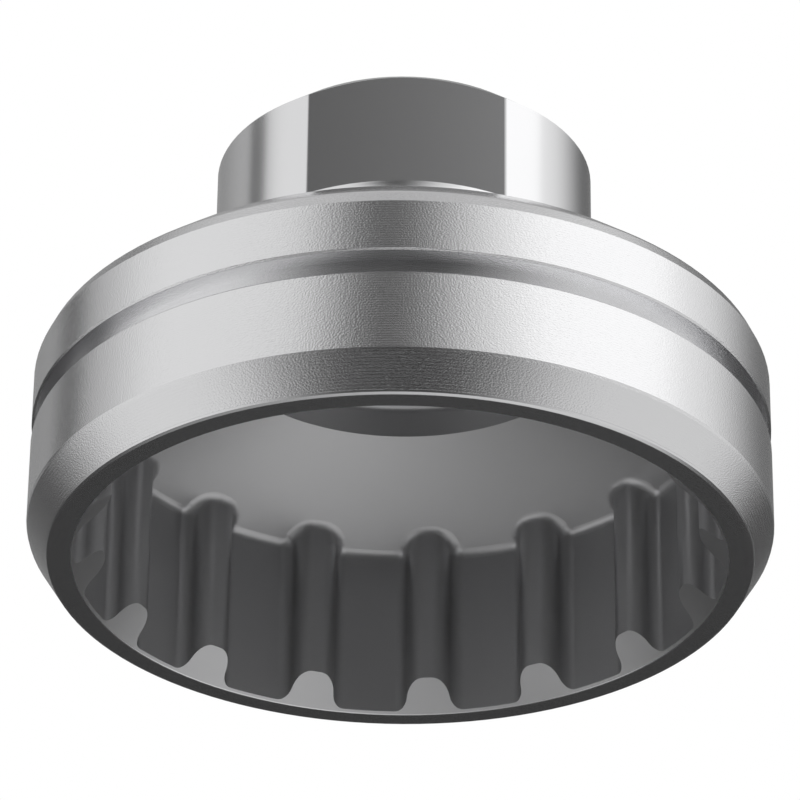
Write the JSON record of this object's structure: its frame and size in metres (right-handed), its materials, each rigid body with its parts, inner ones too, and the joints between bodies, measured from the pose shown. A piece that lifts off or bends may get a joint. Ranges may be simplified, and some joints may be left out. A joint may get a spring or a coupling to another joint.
{
  "type": "bottom bracket tool",
  "caption": "Toothed cup socket for notched external bottom bracket cups, with a grooved body, a sloping shoulder and a round boss with wrench flats and a square drive hole.",
  "frame": {"origin": "centre of the toothed mouth, in the plane of the rim that the tool stands on", "axes": "+Z along the axis towards the drive boss, +Y out of the back wrench flat, +X to the right along the flats"},
  "size_m": [0.051, 0.051, 0.0332],
  "materials": {
    "anodised_aluminium": "clear anodised, finely turned, satin"
  },
  "bodies": {
    "root": {"tool_body": "anodised_aluminium"}
  },
  "joints": []
}
